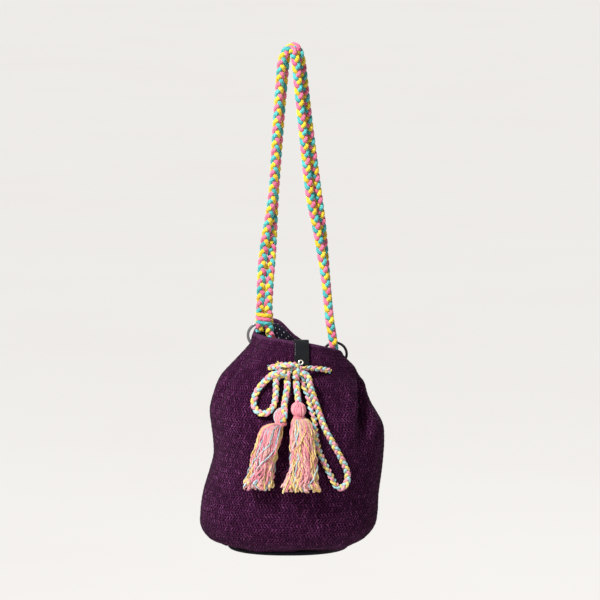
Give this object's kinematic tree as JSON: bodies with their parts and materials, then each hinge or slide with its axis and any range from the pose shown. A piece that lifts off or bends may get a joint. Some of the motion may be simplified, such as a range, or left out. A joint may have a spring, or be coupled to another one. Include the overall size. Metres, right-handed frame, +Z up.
{
  "type": "drawstring bag",
  "caption": "Crocheted potli bag with a lined mouth, hung from a doubled three-strand braided handle on steel rings, and closed by a tasselled drawstring bow.",
  "frame": {"origin": "the point where the handle hangs on a hook, under the top of its front bend", "axes": "+Z up along the hanging bag, -Y towards its front with the bow, +X to the right as seen from the front"},
  "size_m": [0.2513, 0.2, 0.687],
  "materials": {
    "plum_crochet": "matt crocheted cotton",
    "lining_cloth": "plain weave with small pale dots",
    "base_cloth": "plain weave",
    "bright_braid": "three strands in pink, yellow and turquoise",
    "pastel_braid": "three strands in pale pink, yellow and blue",
    "tassel_yarn": "loose cotton yarn",
    "tie_thread": "wound thread",
    "woven_label": "fine woven tape",
    "gunmetal": "dark plated",
    "pale_metal": "polished"
  },
  "bodies": {
    "handle": {"handle_braid": "bright_braid", "handle_wrap": "bright_braid", "ring_left": "gunmetal", "ring_right": "gunmetal"},
    "bag": {"crochet_body": "plum_crochet", "lining": "lining_cloth", "base_panel": "base_cloth", "drawstring": "pastel_braid", "bow_knot": "pastel_braid", "bow_loop_left": "pastel_braid", "bow_loop_right": "pastel_braid", "label": "woven_label", "label_eyelet": "pale_metal"},
    "tassel_left": {"tassel_tail_left": "pastel_braid", "tassel_left": "tassel_yarn", "tassel_tie_left": "tie_thread"},
    "tassel_right": {"tassel_tail_right": "pastel_braid", "tassel_right": "tassel_yarn", "tassel_tie_right": "tie_thread"}
  },
  "joints": [
    {"name": "bag_swing", "type": "hinge", "parent": "handle", "child": "bag", "pos_m": [-0.0513, -0.01, -0.3929], "axis": [0.9834, 0, -0.1812], "range_deg": [-5, 24]},
    {"name": "tassel_left_swing", "type": "hinge", "parent": "bag", "child": "tassel_left", "pos_m": [0.0015, -0.0719, -0.4209], "axis": [-1, 0, 0], "range_deg": [0, 70]},
    {"name": "tassel_right_swing", "type": "hinge", "parent": "bag", "child": "tassel_right", "pos_m": [0.0015, -0.0719, -0.4209], "axis": [-1, 0, 0], "range_deg": [0, 70]}
  ]
}
